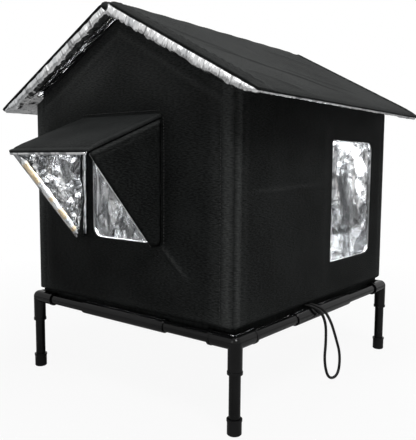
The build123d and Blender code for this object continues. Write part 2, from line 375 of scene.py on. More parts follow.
def stitches(name, place, points, heights):
    """A row of short thread stitches laid over a line of (u, v) points"""
    points = np.asarray(points, float)
    step = np.linalg.norm(np.diff(points, axis=0), axis=1)
    run = np.concatenate([[0], np.cumsum(step)])
    verts, faces = [], []
    for start in np.arange(stitch_pitch / 2, run[-1] - stitch_length, stitch_pitch):
        first = len(verts)
        for share, full in ((0, 0.25), (0.2, 1), (0.8, 1), (1, 0.25)):
            at = start + share * stitch_length
            spot = np.array([np.interp(at, run, points[:, 0]), np.interp(at, run, points[:, 1])])
            beyond = at + 0.1
            near = np.array([np.interp(beyond, run, points[:, 0]), np.interp(beyond, run, points[:, 1])])
            ahead = (near - spot) / max(np.linalg.norm(near - spot), 1e-9)
            side = np.array([-ahead[1], ahead[0]]) * stitch_width * full
            level = np.interp(at, run, heights)
            rise = stitch_width * 1.1 * full
            ring = [(spot + side, level), (spot, level + rise), (spot - side, level), (spot, level - rise)]
            verts += [place([p], [h])[0] for p, h in ring]
        for k in range(3):
            for j in range(4):
                a, b = first + 4 * k + j, first + 4 * k + (j + 1) % 4
                faces.append((a, b, b + 4, a + 4))
        faces += [(first + 3, first + 2, first + 1, first), tuple(range(first + 12, first + 16))]
    return new_object(name, verts, faces)


def sew(name, place, loops, shape, start, end, body):
    """A row of stitches on a padded panel from start to end"""
    count = max(2, int(math.dist(start, end) / 3))
    line = np.linspace(start, end, count)
    heights = shape(line, from_edge(line, loops[0]), from_holes(line, loops))[0]
    finish_piece(stitches(name, place, line, heights + 0.1), thread_black, body, "oxford_black")


def jamb(name, place, loop, low, high):
    """A thin band that lines an opening's edge through the wall"""
    inward = inward_of(loop)
    count = len(loop)
    shake = 0.25 * noise(np.stack([np.arange(count) * 3.0, np.zeros(count)], 1), 9, 5)
    inner = loop + inward * (jamb_thickness + shake)[:, None]
    rings = [place(loop - inward * 0.3, np.full(count, low)), place(inner, np.full(count, low)),
             place(inner, np.full(count, high - 0.8)), place(loop + inward * 0.2, np.full(count, high))]
    verts = np.concatenate(rings)
    faces = []
    for ring in range(4):
        for k in range(count):
            a, b = ring * count, (ring + 1) % 4 * count
            faces.append((a + k, a + (k + 1) % count, b + (k + 1) % count, b + k))
    return new_object(name, verts, faces)


# Shader pieces

def put(tree, kind, values=None, **settings):
    """A shader node; a value that is a socket is linked to it"""
    node = tree.nodes.new(kind)
    for key, value in settings.items():
        setattr(node, key, value)
    for key, value in (values or {}).items():
        if isinstance(value, bpy.types.NodeSocket):
            tree.links.new(value, node.inputs[key])
        else:
            node.inputs[key].default_value = value
    return node


def calc(tree, operation, a, b=0.0):
    """The result of one sum on two numbers or sockets"""
    return put(tree, "ShaderNodeMath", {0: a, 1: b}, operation=operation).outputs[0]


def shader_group(name, inputs, outputs):
    """An empty node group with number inputs of given starting values, and number outputs"""
    tree = bpy.data.node_groups.new(name, "ShaderNodeTree")
    tree.interface.new_socket("Vector", in_out="INPUT", socket_type="NodeSocketVector")
    for label, value in inputs.items():
        socket = tree.interface.new_socket(label, in_out="INPUT", socket_type="NodeSocketFloat")
        socket.default_value = value
    for label in outputs:
        tree.interface.new_socket(label, in_out="OUTPUT", socket_type="NodeSocketFloat")
    return tree, tree.nodes.new("NodeGroupInput").outputs, tree.nodes.new("NodeGroupOutput")


def make_twill():
    """Slanted ribs of crossed threads, with flecks and broad uneven patches"""
    tree, given, result = shader_group(
        "twill cloth", {"Thread": 0.0008, "Grain": 0.0055, "Patch": 0.09}, ("Height", "Fleck", "Patch"))
    scaled = put(tree, "ShaderNodeVectorMath",
                 {0: given["Vector"], "Scale": calc(tree, "DIVIDE", 1.0, given["Thread"])}, operation="SCALE")
    parts = put(tree, "ShaderNodeSeparateXYZ", {0: scaled.outputs[0]})
    slant = calc(tree, "ADD", parts.outputs[0], parts.outputs[1])
    rib = calc(tree, "ABSOLUTE", calc(tree, "SINE", calc(tree, "MULTIPLY", slant, math.pi / 2)))
    thread = calc(tree, "ABSOLUTE", calc(tree, "SINE", calc(tree, "MULTIPLY", parts.outputs[1], math.pi)))
    height = calc(tree, "ADD", calc(tree, "MULTIPLY", rib, 0.7), calc(tree, "MULTIPLY", thread, 0.3))
    turned = put(tree, "ShaderNodeMapping", {0: given["Vector"], "Rotation": (0, 0, math.pi / 4),
                                             "Scale": (1, 3.5, 1)})
    grain = put(tree, "ShaderNodeTexNoise", {"Vector": turned.outputs[0], "Detail": 3.0,
                "Scale": calc(tree, "DIVIDE", 1.0, given["Grain"])})
    patch = put(tree, "ShaderNodeTexNoise", {"Vector": given["Vector"], "Detail": 2.0,
                "Scale": calc(tree, "DIVIDE", 1.0, given["Patch"])})
    tree.links.new(height, result.inputs["Height"])
    tree.links.new(grain.outputs[0], result.inputs["Fleck"])
    tree.links.new(patch.outputs[0], result.inputs["Patch"])
    return tree


def make_crinkle():
    """Flat facets of a pressed metal film, with painted shade in sharp dark folds and painted reflections as
    long pale and grey streaks
    """
    tree, given, result = shader_group("pressed film", {"Facet": 0.009}, ("Height", "Haze", "FoldShade", "ReflectionStreaks"))
    scale = calc(tree, "DIVIDE", 1.0, given["Facet"])
    wander = put(tree, "ShaderNodeTexNoise", {"Vector": given["Vector"], "Scale": 60.0})
    moved = put(tree, "ShaderNodeVectorMath", {0: wander.outputs[1], 1: (0.006, 0.006, 0.006),
                                               2: given["Vector"]}, operation="MULTIPLY_ADD")
    big = put(tree, "ShaderNodeTexVoronoi", {"Vector": moved.outputs[0], "Scale": scale})
    small = put(tree, "ShaderNodeTexVoronoi", {"Vector": moved.outputs[0],
                                               "Scale": calc(tree, "MULTIPLY", scale, 2.7)})
    edge = put(tree, "ShaderNodeTexVoronoi", {"Vector": moved.outputs[0],
                                              "Scale": calc(tree, "MULTIPLY", scale, 1.3)},
               feature="DISTANCE_TO_EDGE")
    line = put(tree, "ShaderNodeMapRange", {0: edge.outputs[0], 1: 0.0, 2: 0.13, 3: 1.0, 4: 0.0})
    gate = put(tree, "ShaderNodeTexNoise", {"Vector": given["Vector"], "Scale": 55.0, "Detail": 2.0})
    shown = put(tree, "ShaderNodeMapRange", {0: gate.outputs[0], 1: 0.5, 2: 0.6})
    haze = put(tree, "ShaderNodeTexNoise", {"Vector": given["Vector"], "Scale": 25.0, "Detail": 3.0})
    stretched = put(tree, "ShaderNodeMapping", {0: given["Vector"], "Scale": (1, 0.35, 1)})
    reflection_streaks = put(tree, "ShaderNodeTexNoise", {"Vector": stretched.outputs[0], "Scale": 30.0, "Detail": 3.0,
                                            "Distortion": 1.4})
    height = calc(tree, "ADD", big.outputs[0], calc(tree, "MULTIPLY", small.outputs[0], 0.35))
    tree.links.new(height, result.inputs["Height"])
    tree.links.new(haze.outputs[0], result.inputs["Haze"])
    tree.links.new(calc(tree, "MULTIPLY", line.outputs[0], shown.outputs[0]), result.inputs["FoldShade"])
    tree.links.new(reflection_streaks.outputs[0], result.inputs["ReflectionStreaks"])
    return tree


def make_grain():
    """Fine pitting and faint rubbed patches of a moulded or painted surface"""
    tree, given, result = shader_group("moulded grain", {"Pit": 0.0012}, ("Height", "Rub"))
    pits = put(tree, "ShaderNodeTexNoise", {"Vector": given["Vector"], "Detail": 2.0,
               "Scale": calc(tree, "DIVIDE", 1.0, given["Pit"])})
    paleness = put(tree, "ShaderNodeTexNoise", {"Vector": given["Vector"], "Scale": 35.0, "Detail": 4.0})
    tree.links.new(pits.outputs[0], result.inputs["Height"])
    tree.links.new(paleness.outputs[0], result.inputs["Rub"])
    return tree


def start_material(name, coordinate):
    """A new material with its shader and the coordinates its patterns use"""
    material = bpy.data.materials.new(name)
    material.use_nodes = True
    tree = material.node_tree
    places = put(tree, "ShaderNodeTexCoord").outputs[coordinate]
    return material, tree, tree.nodes["Principled BSDF"], places


def blend_colours(tree, share, low, high, first, second):
    """A colour between two, as share goes from low to high"""
    ramp = put(tree, "ShaderNodeMapRange", {0: share, 1: low, 2: high})
    mix = put(tree, "ShaderNodeMix", {0: ramp.outputs[0], 6: (*first, 1), 7: (*second, 1)}, data_type="RGBA")
    return mix.outputs[2]


def cloth_material(name, dark, light, sheen_colour, thread=0.0008, roughness=0.6, gloss=0.1, bump=0.00025,
                   coordinate="UV"):
    """Coated twill cloth whose colour carries painted light: it turns paler, toward its third colour, where
    the mesh's point attribute paints highlights on rolls, edges, creases and lit faces, with a little random
    tone
    """
    material, tree, shader, places = start_material(name, coordinate)
    cloth = put(tree, "ShaderNodeGroup", node_tree=groups["twill"])
    cloth.inputs["Thread"].default_value = thread
    tree.links.new(places, cloth.inputs["Vector"])
    share = calc(tree, "ADD", calc(tree, "MULTIPLY", cloth.outputs["Fleck"], 0.75),
                 calc(tree, "MULTIPLY", cloth.outputs["Patch"], 0.35))
    # The point attribute read here holds painted highlights and shade, plus a little random tone
    sheen_tint_share = put(tree, "ShaderNodeAttribute", attribute_name="sheen_and_tint").outputs["Fac"]
    grain_share = calc(tree, "ADD", calc(tree, "MULTIPLY", cloth.outputs["Fleck"], 1.3), -0.15)
    plain = blend_colours(tree, share, 0.44, 0.66, dark, light)
    pale_share = calc(tree, "MULTIPLY", sheen_tint_share, grain_share)
    pale = put(tree, "ShaderNodeMix", {0: pale_share, 6: plain, 7: (*sheen_colour, 1)},
               data_type="RGBA", clamp_factor=True)
    tree.links.new(pale.outputs[2], shader.inputs["Base Color"])
    rough = put(tree, "ShaderNodeMapRange",
                {0: cloth.outputs["Fleck"], 3: roughness - 0.08, 4: roughness + 0.08})
    tree.links.new(rough.outputs[0], shader.inputs["Roughness"])
    ridge = put(tree, "ShaderNodeBump",
                {"Height": cloth.outputs["Height"], "Strength": 0.6, "Distance": bump})
    grain = put(tree, "ShaderNodeBump", {"Height": cloth.outputs["Fleck"], "Strength": 0.7,
                                         "Distance": 0.002, "Normal": ridge.outputs[0]})
    tree.links.new(grain.outputs[0], shader.inputs["Normal"])
    shader.inputs["Specular IOR Level"].default_value = gloss
    return material


def foil_material(name, facet, bump, roughness, dull):
    """Metallised film, pressed into small creases, with painted reflections as pale and grey streaks, painted
    shade in its folds, and a warm cast where its point attribute marks it
    """
    material, tree, shader, places = start_material(name, "UV")
    film = put(tree, "ShaderNodeGroup", node_tree=groups["crinkle"])
    film.inputs["Facet"].default_value = facet
    tree.links.new(places, film.inputs["Vector"])
    # dull is the grey end of the painted reflection streaks
    grey = (dull, dull * 1.02, dull * 1.04)
    silver = blend_colours(tree, film.outputs["ReflectionStreaks"], 0.44, 0.51, grey, (0.95, 0.955, 0.96))
    warmth = put(tree, "ShaderNodeAttribute", attribute_name="sheen_and_tint").outputs["Fac"]
    cast = put(tree, "ShaderNodeMix", {0: warmth, 6: silver, 7: (0.8, 0.63, 0.4, 1)}, data_type="RGBA")
    # Painted shade: the folds' colour goes near black
    fold_shade_share = calc(tree, "MULTIPLY", film.outputs["FoldShade"], 0.8)
    fold_shaded = put(tree, "ShaderNodeMix", {0: fold_shade_share, 6: cast.outputs[2], 7: (0.05, 0.05, 0.055, 1)},
                 data_type="RGBA")
    tree.links.new(fold_shaded.outputs[2], shader.inputs["Base Color"])
    shader.inputs["Metallic"].default_value = 1
    rough = put(tree, "ShaderNodeMapRange", {0: film.outputs["Haze"], 3: roughness * 0.6, 4: roughness * 1.5})
    tree.links.new(rough.outputs[0], shader.inputs["Roughness"])
    folds = put(tree, "ShaderNodeBump", {"Height": film.outputs["Height"], "Strength": 0.7, "Distance": bump})
    tree.links.new(folds.outputs[0], shader.inputs["Normal"])
    return material


def moulded_material(name, dark, light, roughness, pit, bump, gloss, coat=0.0):
    """Black plastic, rubber or paint"""
    material, tree, shader, places = start_material(name, "Object")
    grain = put(tree, "ShaderNodeGroup", node_tree=groups["grain"])
    grain.inputs["Pit"].default_value = pit
    tree.links.new(places, grain.inputs["Vector"])
    colour = blend_colours(tree, grain.outputs["Rub"], 0.35, 0.75, dark, light)
    tree.links.new(colour, shader.inputs["Base Color"])
    rough = put(tree, "ShaderNodeMapRange",
                {0: grain.outputs["Rub"], 3: roughness * 0.75, 4: roughness * 1.3})
    tree.links.new(rough.outputs[0], shader.inputs["Roughness"])
    pits = put(tree, "ShaderNodeBump", {"Height": grain.outputs["Height"], "Strength": 0.4, "Distance": bump})
    tree.links.new(pits.outputs[0], shader.inputs["Normal"])
    shader.inputs["Specular IOR Level"].default_value = gloss
    shader.inputs["Coat Weight"].default_value = coat
    shader.inputs["Coat Roughness"].default_value = 0.08
    return material


groups = {"twill": make_twill(), "crinkle": make_crinkle(), "grain": make_grain()}
# Each cloth's third colour is the pale colour that painted highlights blend toward
wall_cloth = cloth_material("wall twill", (0.0018, 0.0021, 0.002), (0.0135, 0.0148, 0.0145),
                            (0.066, 0.069, 0.068), gloss=0.05)
roof_cloth = cloth_material("roof twill", (0.0035, 0.004, 0.0039), (0.011, 0.012, 0.0118),
                            (0.05, 0.053, 0.052), gloss=0.05)
hood_cloth = cloth_material("hood twill", (0.004, 0.0044, 0.0044), (0.013, 0.0142, 0.0142),
                            (0.036, 0.038, 0.0375), thread=0.0011, gloss=0.05)
thread_black = cloth_material("black thread", (0.02, 0.02, 0.02), (0.05, 0.05, 0.05), (0.05, 0.05, 0.05),
                              0.0004, 0.5, 0.3, coordinate="Object")
strap_cloth = cloth_material("strap weave", (0.004, 0.004, 0.004), (0.014, 0.014, 0.014), (0.02, 0.02, 0.02),
                             0.0009, 0.45, 0.2, 0.0004, "Object")
tape_cloth = cloth_material("hook tape", (0.006, 0.006, 0.007), (0.02, 0.02, 0.022), (0.03, 0.03, 0.03),
                            0.0006, 0.8, 0.1, 0.0006, "Object")
foil = foil_material("pressed foil", 0.04, 0.0009, 0.12, 0.5)
fine_foil = foil_material("finely pressed foil", 0.014, 0.0006, 0.12, 0.42)
edge_foil = foil_material("puckered foil", 0.011, 0.0015, 0.2, 0.75)
hem_foil = foil_material("rolled foil hem", 0.007, 0.0008, 0.5, 0.9)
elbow_plastic = moulded_material("elbow plastic", (0.0015, 0.0015, 0.0016), (0.004, 0.004, 0.0042), 0.12,
                                 0.0014, 0.00004, 0.2, 0.08)
tube_paint = moulded_material("tube paint", (0.0015, 0.0015, 0.0016), (0.004, 0.0042, 0.0043), 0.15,
                              0.0011, 0.00005, 0.22)
sleeve_plastic = moulded_material("sleeve plastic", (0.002, 0.002, 0.0022), (0.005, 0.0052, 0.0055), 0.17,
                                  0.0011, 0.00006, 0.22)
foot_rubber = moulded_material("foot rubber", (0.003, 0.003, 0.0032), (0.008, 0.008, 0.0085), 0.3,
                               0.0009, 0.00008, 0.22)


def finish_piece(piece, material, body, slot, *nodes, fill=None):
    """Gives a piece its material and the body it rides on, and hides the nodes it stands for

    The slot and fill are not used.
    """
    piece.data.materials.clear()
    piece.data.materials.append(material)
    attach(piece, body)
    if nodes:
        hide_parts(*nodes)
    return piece


# The camera and the floor

view_turn = math.radians(38.574)
view_dip = math.radians(5.621)
view_roll = math.radians(0.403)
ahead = Vector((-math.sin(view_turn) * math.cos(view_dip), math.cos(view_turn) * math.cos(view_dip),
                -math.sin(view_dip)))
level = Vector((math.cos(view_turn), math.sin(view_turn), 0))
upright = level.cross(ahead)
view_right = level * math.cos(view_roll) + upright * math.sin(view_roll)
view_up = upright * math.cos(view_roll) - level * math.sin(view_roll)
camera = bpy.data.objects.new("camera", bpy.data.cameras.new("camera"))
bpy.context.scene.collection.objects.link(camera)
camera.data.lens = 48.23
camera.data.sensor_width = 36
camera.matrix_world = Matrix((
    (view_right.x, view_up.x, -ahead.x, 0.65417),
    (view_right.y, view_up.y, -ahead.y, (-852.55 + middle_y) * MM),
    (view_right.z, view_up.z, -ahead.z, 0.36135),
    (0, 0, 0, 1)))
bpy.context.scene.camera = camera


def make_world():
    """White where the camera sees it, paler in reflections and dim as a light"""
    world = bpy.data.worlds.new("studio")
    bpy.context.scene.world = world
    world.use_nodes = True
    tree = world.node_tree
    background = tree.nodes["Background"]
    background.inputs[0].default_value = (1, 1, 1, 1)
    path = put(tree, "ShaderNodeLightPath").outputs
    seen = calc(tree, "MAXIMUM", path["Is Camera Ray"], path["Is Transmission Ray"])
    mirrored = calc(tree, "MULTIPLY", path["Is Glossy Ray"], 0.62)
    strength = put(tree, "ShaderNodeMapRange", {0: calc(tree, "MAXIMUM", seen, mirrored), 3: 0.17, 4: 1.0})
    tree.links.new(strength.outputs[0], background.inputs[1])


def make_floor():
    """A plain pale floor that keeps the house's shadow"""
    size = 6.0
    verts = [(-size, -size, 0), (size, -size, 0), (size, size, 0), (-size, size, 0)]
    floor = new_object("floor", verts, [(0, 1, 2, 3)], shade=False)
    material = bpy.data.materials.new("pale floor")
    material.use_nodes = True
    tree = material.node_tree
    shader = tree.nodes["Principled BSDF"]
    shader.inputs["Base Color"].default_value = (0.42, 0.42, 0.42, 1)
    shader.inputs["Roughness"].default_value = 0.8
    path = put(tree, "ShaderNodeLightPath").outputs
    glow = put(tree, "ShaderNodeEmission", {"Color": (1, 1, 1, 1), "Strength": 1.0})
    spot = put(tree, "ShaderNodeTexCoord").outputs["Object"]
    away = put(tree, "ShaderNodeVectorMath", {0: spot}, operation="LENGTH").outputs["Value"]
    fade = put(tree, "ShaderNodeMapRange", {0: away, 1: 0.35, 2: 1.3, 3: 0.93, 4: 1.0}).outputs[0]
    share = calc(tree, "MULTIPLY", path["Is Camera Ray"], fade)
    mix = put(tree, "ShaderNodeMixShader", {0: share, 1: shader.outputs[0], 2: glow.outputs[0]})
    tree.links.new(mix.outputs[0], tree.nodes["Material Output"].inputs[0])
    floor.data.materials.append(material)


def area_light(name, spot, target, size, power):
    """A soft square lamp that points at a target"""
    lamp = bpy.data.lights.new(name, "AREA")
    lamp.size = size
    lamp.energy = power
    holder = bpy.data.objects.new(name, lamp)
    holder.location = spot
    holder.rotation_euler = (Vector(target) - Vector(spot)).to_track_quat("-Z", "Y").to_euler()
    bpy.context.scene.collection.objects.link(holder)


bpy.context.scene.view_settings.view_transform = "Standard"
make_world()
make_floor()
area_light("key", (1.4, -0.9, 2.2), (0, 0, 0.3), 0.9, 50)
area_light("fill", (-0.5, -2.4, 1.2), (0, 0, 0.3), 1.2, 7)
area_light("top", (0.2, 0.3, 2.4), (0, 0, 0.4), 0.9, 18)
area_light("inside", (0.01, middle_y * MM, 0.45), (0, middle_y * MM, 0.2), 0.34, 5)


# The stand keeps its own shapes

def finish_stand():
    """Each of the stand's nodes gets its surface"""
    for name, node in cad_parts.items():
        if name.startswith("corner_connector"):
            material = elbow_plastic
        elif name.startswith("rail_sleeve"):
            material = sleeve_plastic
        elif name.startswith("foot_cap"):
            material = foot_rubber
        elif name.startswith(("leg_tube", "rail_tube")):
            material = tube_paint
        elif name.startswith("roof_strip"):
            material = tape_cloth
        else:
            continue
        node.data.materials.clear()
        node.data.materials.append(material)


finish_stand()


# The strap loop

strap_diameter = 4.5
strap_route = [(205, -44, 138.3), (228.5, -44, 138.3), (229.5, -18, 112), (230.5, -17, 78), (230.5, -22, 46),
               (230.5, -6, 12), (230.5, 30, 8), (230.5, 36, 42), (229.5, 19, 76), (229.5, -2, 110),
               (228.5, -33, 138.3), (205, -33, 138.3)]


def make_strap():
    """The strap hangs from the floor's edge over the rail in one loop"""
    data = bpy.data.curves.new("strap", "CURVE")
    data.dimensions = "3D"
    line = data.splines.new("NURBS")
    line.points.add(len(strap_route) - 1)
    for point, (x, y, z) in zip(line.points, strap_route):
        point.co = (x * MM, (y + middle_y) * MM, z * MM, 1)
    line.order_u = 3
    line.use_endpoint_u = True
    line.resolution_u = 16
    data.bevel_depth = strap_diameter / 2 * MM
    data.bevel_resolution = 4
    data.use_fill_caps = True
    data.materials.append(strap_cloth)
    strap = bpy.data.objects.new("strap", data)
    bpy.context.scene.collection.objects.link(strap)
    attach(strap, "cabin")
    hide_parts("strap_loop")
    x, y, z = strap_route[0]


make_strap()


# The walls

gable_slope = (gable_height - shoulder_height) / wall_x
seam_x = wall_x - corner_seam_depth
seam_y = wall_y - corner_seam_depth
inner_x = wall_x - wall_thickness
inner_y = wall_y - wall_thickness
seam_height = wall_thickness - corner_seam_depth


def bump(distance, centre, width):
    """A smooth hump of 1 at a distance, falling away over width"""
    return np.exp(-((distance - centre) / width) ** 2)


def level_at(points, value):
    """The same height at every point"""
    return np.full(len(points), float(value))


def gable_outline(half_width, spacing, low=wall_bottom, top=gable_height, radius=3):
    """The front's outline: straight sides under two slopes"""
    eave = top - half_width * gable_slope
    return rounded([(-half_width, low, radius), (half_width, low, radius), (half_width, eave, radius),
                    (0, top, 3), (-half_width, eave, radius)], spacing)


def box_outline(half_width, low, high, spacing, radius=3, far_radius=None):
    """An upright rectangle's outline, whose corners on its far side may have a radius of their own"""
    far = far_radius or radius
    return rounded([(-half_width, low, radius), (half_width, low, far), (half_width, high, far),
                    (-half_width, high, radius)], spacing)


def door_outline(spacing, grow=0.0):
    half = door_width / 2 + grow
    return box_outline(half, door_bottom - grow, door_top + grow, spacing, door_radius + grow)


def window_outline(spacing, grow=0.0):
    near, far = window_front - grow, window_back + grow
    low, high = window_bottom - grow, window_top + grow
    front_radius, back_radius = window_front_radius + grow, window_back_radius + grow
    return rounded([(near, low, front_radius), (far, low, back_radius), (far, high, back_radius),
                    (near, high, front_radius)], spacing)


def wall_shape(half, top_edge, roll, swell, seed, marks=(), gable_sheen=0.0):
    """Heights of a padded wall: rolled corner seams, a gentle swell, puckers and a few pulled creases, with
    painted highlights along the corner rolls, the top and bottom edges, the creases and the gable
    """
    def shape(points, outer, hole):
        u, v = points.T
        side = half - np.abs(u)
        ends = np.minimum(v - wall_bottom, top_edge(u) - v)
        lift = seam_height + (wall_thickness - seam_height + 1.2) * round_over(side, roll * 0.6)
        lift = np.minimum(lift, seam_height + (wall_thickness - seam_height + 1.2) * round_over(ends, 6))
        lift -= 2.4 * bump(side, roll * 1.1, roll * 0.22) * ease(ends / 12)
        field = ease((side - roll) / 80) * ease(ends / 80)
        lift += swell * field * ease(hole / 60)
        lift += 0.7 * field * noise(points, 75, seed) + 0.25 * ease(outer / 9) * noise(points, 24, seed + 1)
        ripple = np.sin(v / 2.9 + 2.2 * noise(np.stack([v, u], 1), 26, seed + 2))
        lift += 0.3 * ripple * bump(side, roll * 0.85, roll * 0.4) * ease(ends / 8)
        # Painted highlights on the rolled corner bands
        sheen_and_tint = 1.15 * bump(side, roll * 0.5, roll * 0.42) + 0.25 * bump(side, roll * 1.5, roll * 0.5)
        # A little random tone, and a painted highlight line along the top and bottom edges
        sheen_and_tint += 0.06 + 0.06 * noise(points, 60, seed + 5) + 0.1 * bump(ends, 7, 5)
        # Painted light over the gable's upper part, with lighter painted lines along its sloping edges
        gable = ease((v - shoulder_height + 60) / 110) * gable_sheen
        sheen_and_tint += gable * (0.4 + 0.5 * bump(ends, 48, 26) + 0.9 * bump(ends, 25, 4))
        # Each crease's last number is how much painted highlight runs along it
        for start, end, width, rise, paleness in marks:
            line = crease(points, start, end, width)
            lift += rise * line
            sheen_and_tint += paleness * line
        near_hole = 1 - ease((hole - 3) / 34)
        lift += (wall_thickness - 0.2 - lift) * near_hole
        lift -= 1.9 * (1 - round_over(hole, 3.5))
        under = np.where(outer < 5, seam_height * (1 - round_over(outer, 4.6)), 0.0)
        under = np.where(hole < 3, (wall_thickness - 2) * (1 - round_over(hole, 3)), under)
        seam = np.where(outer < hole, seam_height, wall_thickness - 2.1)
        return lift, under, seam, sheen_and_tint
    return shape


front_plane = plane((0, -inner_y, 0), (1, 0, 0), (0, 0, 1))
back_plane = plane((0, inner_y, 0), (-1, 0, 0), (0, 0, 1))
right_plane = plane((inner_x, 0, 0), (0, 1, 0), (0, 0, 1))
left_plane = plane((-inner_x, 0, 0), (0, -1, 0), (0, 0, 1))
side_top = shoulder_height + 3


def gable_top(u):
    return gable_height - np.abs(u) * gable_slope


def flat_top(u):
    return np.full(len(u), side_top)


def make_walls():
    """Four padded panels, each rolled in to its corner seams"""
    # Creases as start, end, width, rise and painted highlight along the crease
    front_marks = [((80, 246), (142, 192), 2.6, 2.0, 0.8), ((82, 226), (124, 204), 4.0, -0.8, 0.0),
                   ((-196, 396), (-150, 440), 9, 0.7, 0.08)]
    right_marks = [((-226, 321), (8, 329), 2.4, 1.1, 0.38), ((-222, 317), (-60, 323), 4.0, -0.6, 0.0)]
    gable = gable_outline(seam_x, wall_spacing)
    back_gable = gable_outline(seam_x, wall_spacing, radius=back_corner)
    side = box_outline(seam_y, wall_bottom, side_top, wall_spacing, back_corner, 3)
    window_side = box_outline(seam_y, wall_bottom, side_top, wall_spacing, 3, back_corner)
    panels = [
        ("front_padding", front_plane, [gable, door_outline(opening_spacing)],
         wall_shape(seam_x, gable_top, corner_roll_front, 1.6, 3, front_marks, 0.8), "front_wall"),
        ("back_padding", back_plane, [back_gable],
         wall_shape(seam_x, gable_top, corner_roll_front, 2.6, 13), "back_wall"),
        ("right_padding", right_plane, [window_side, window_outline(opening_spacing)],
         wall_shape(seam_y, flat_top, corner_roll_side, 2.0, 23, right_marks), "right_wall"),
        ("left_padding", left_plane, [side],
         wall_shape(seam_y, flat_top, corner_roll_side, 2.6, 33), "left_wall"),
    ]
    for name, place, loops, shape, node in panels:
        piece = pillow(name, place, loops, wall_spacing, shape)
        finish_piece(piece, wall_cloth, "cabin", "oxford_black", node, fill=0.7)
        reach = loops[0][:, 0].max()
        roll = corner_roll_front if reach < wall_y - 20 else corner_roll_side
        column = reach - roll * 1.1
        for side, word in ((1, "a"), (-1, "b")):
            sew(f"{name}_seam_{word}", place, loops, shape, (side * column, wall_bottom + 5),
                (side * column, shoulder_height - 8), "cabin")
        if name == "front_padding":
            for side, word in ((1, "right"), (-1, "left")):
                sew(f"hood_seam_{word}", place, loops, shape, (side * hood_stitch_x, door_bottom),
                    (side * hood_stitch_x, hood_axis_z), "cabin")
            sew("hood_seam_top", place, loops, shape, (-hood_width / 2, hood_axis_z + 9),
                (hood_width / 2, hood_axis_z + 9), "cabin")


make_walls()


# The foil inside

def lining_shape(depth, seed, tall=0.3, size=44, swell=2.5):
    """Heights of a foil sheet on a flat backing, in long upright folds crossed by small creases"""
    def shape(points, outer, hole):
        hold = ease(np.minimum(outer, hole) / 16)
        upright = points * [1, tall]
        lift = 1.6 + swell * hold * (0.5 + 0.5 * noise(upright, 60, seed))
        lift += depth * (0.2 + 0.8 * hold) * crumple(upright, size, seed)
        lift += depth * 0.16 * crumple(points * [1, 0.6], size * 0.4, seed + 7)
        return np.maximum(lift, 0.4), level_at(points, 0), level_at(points, 0.3), level_at(points, 0)
    return shape


def make_linings():
    """Foil over the inside of each wall, the floor and the openings' edges"""
    gap = 1.0
    front_in = plane((0, -inner_y, 0), (-1, 0, 0), (0, 0, 1))
    back_in = plane((0, inner_y, 0), (1, 0, 0), (0, 0, 1))
    right_in = plane((inner_x, 0, 0), (0, -1, 0), (0, 0, 1))
    left_in = plane((-inner_x, 0, 0), (0, 1, 0), (0, 0, 1))
    floor_up = plane((0, 0, wall_bottom), (1, 0, 0), (0, 1, 0))
    gable = gable_outline(inner_x - gap, lining_spacing, wall_bottom + 1, gable_height - 4, 8)
    side = box_outline(inner_y - gap, wall_bottom + 1, side_top, lining_spacing, 8)
    mirrored_window = window_outline(3.2, 0.8)[::-1] * [-1, 1]
    sheets = [
        ("front_foil", front_in, [gable, door_outline(3.2, 0.8)], lining_shape(1.2, 5), "front_lining"),
        ("back_foil", back_in, [gable], lining_shape(3.2, 15, size=66, swell=4), "back_lining"),
        ("right_foil", right_in, [side, mirrored_window], lining_shape(1.2, 25), "right_lining"),
        ("left_foil", left_in, [side], lining_shape(3.2, 35, size=66, swell=4), "left_lining"),
        ("floor_foil", floor_up, [box_outline(inner_x - 2, 2 - inner_y, inner_y - 2, lining_spacing)],
         lining_shape(1.8, 45, 0.8), "floor_lining"),
    ]
    for name, place, loops, shape, node in sheets:
        piece = pillow(name, place, loops, lining_spacing, shape, rims=(0.8, 3), seed=7)
        finish_piece(piece, foil, "cabin", "foil", node, fill=0.5)
    for name, place, loop in (("window_jamb_foil", right_plane, window_outline(opening_spacing)),
                              ("door_jamb_foil", front_plane, door_outline(opening_spacing))):
        finish_piece(jamb(name, place, loop, 0.3, 6.4), fine_foil, "cabin", "foil")


make_linings()


